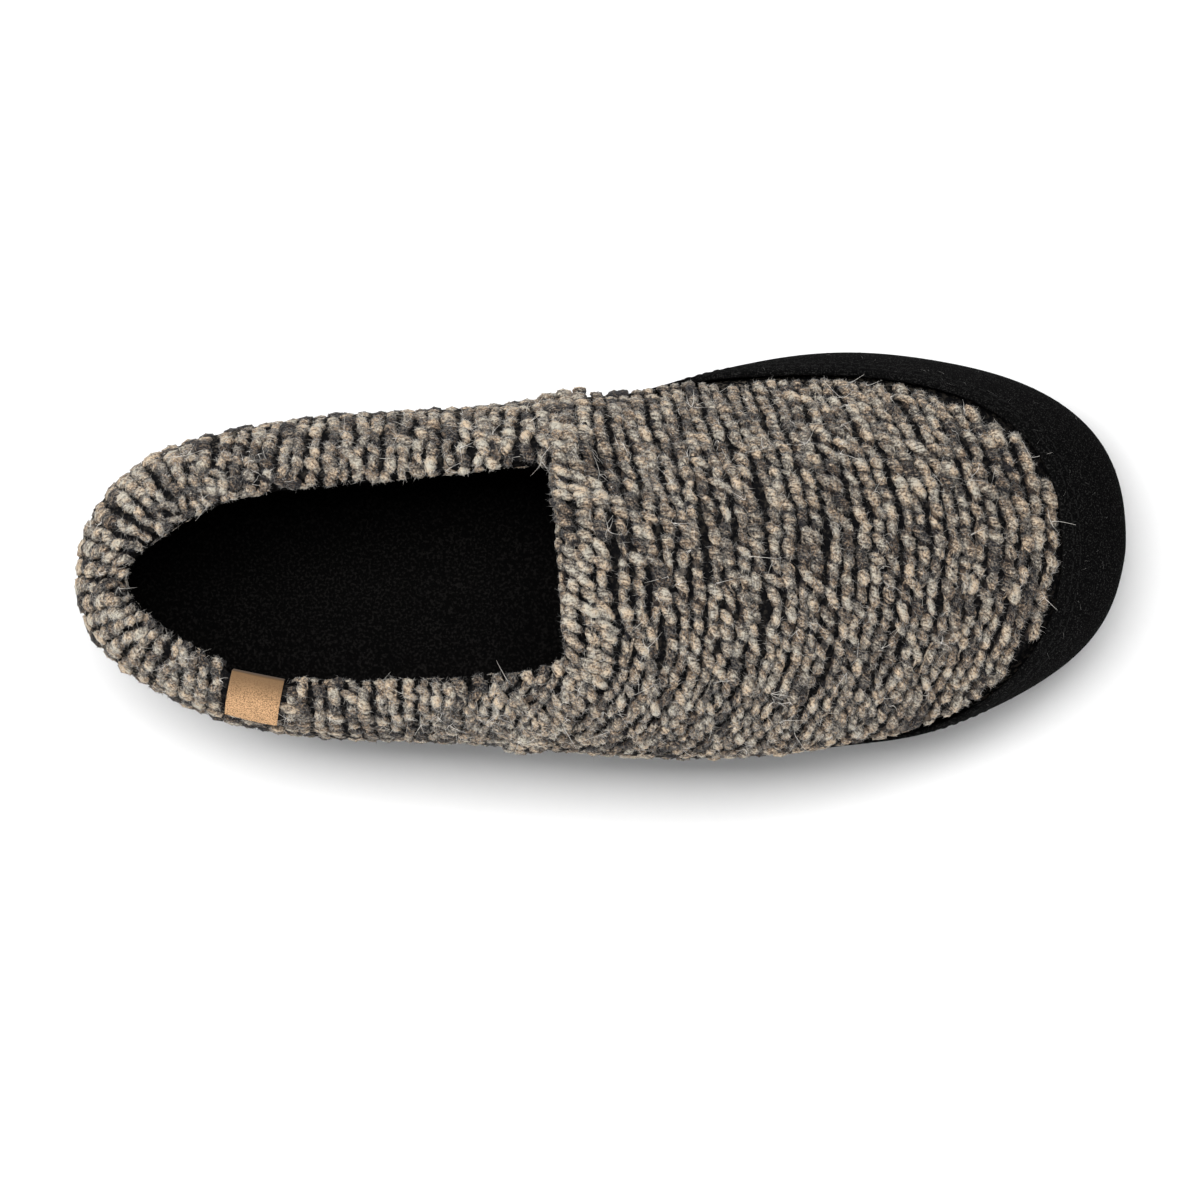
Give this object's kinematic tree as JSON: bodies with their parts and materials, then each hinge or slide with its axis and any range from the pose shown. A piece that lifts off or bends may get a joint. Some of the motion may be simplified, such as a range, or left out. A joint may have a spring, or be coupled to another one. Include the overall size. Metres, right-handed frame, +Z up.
{
  "type": "moccasin slipper",
  "caption": "Right-foot slip-on moccasin slipper with a thick knit upper, rolled collar, straight throat, suede sidewall, rubber outsole and a soft footbed.",
  "frame": {"origin": "on the floor, at the middle of the shoe's box", "axes": "+X towards the toe, +Y towards the inner side of the foot, +Z up"},
  "size_m": [0.286, 0.1118, 0.0819],
  "materials": {
    "knit": "chunky marled wool knit",
    "suede": "matt black suede",
    "rubber": "matt moulded rubber over foam",
    "fleece": "black fleece",
    "tab": "tan suede"
  },
  "bodies": {
    "root": {"upper": "knit", "rand": "suede", "outsole": "rubber", "insole": "fleece", "collar_tab": "tab"}
  },
  "joints": []
}
